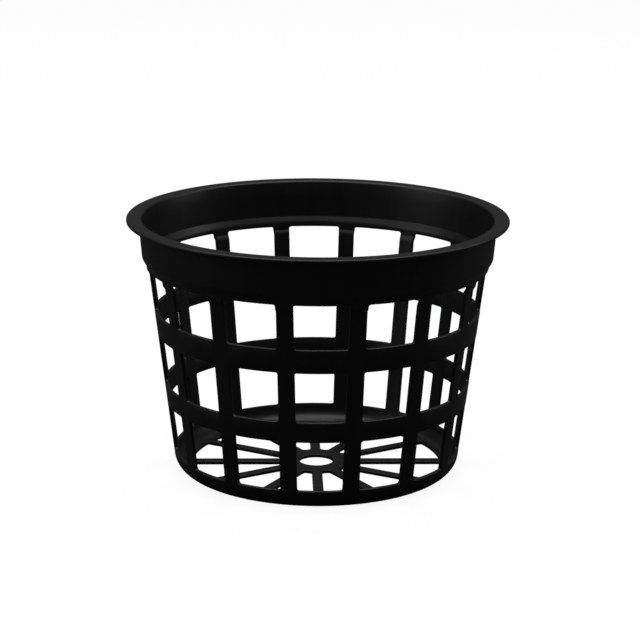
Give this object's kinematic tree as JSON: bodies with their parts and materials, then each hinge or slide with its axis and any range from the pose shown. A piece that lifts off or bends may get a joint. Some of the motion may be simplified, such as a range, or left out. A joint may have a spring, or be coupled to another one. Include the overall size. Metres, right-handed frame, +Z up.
{
  "type": "hydroponic net pot",
  "caption": "Black moulded net pot, 55 mm over the flange and 37 mm tall: tapered lattice wall with three rows of windows, two-step collar, spoked floor with a drain hole.",
  "frame": {"origin": "centre of the underside of the base, on the pot's axis", "axes": "+Z up out of the open top; -Y and +Y are the two equal halves of the lattice (front and back); the wide ribs lie at +X and -X"},
  "size_m": [0.055, 0.055, 0.0374],
  "materials": {
    "moulded_plastic": "satin"
  },
  "bodies": {
    "root": {"net_pot": "moulded_plastic"}
  },
  "joints": []
}
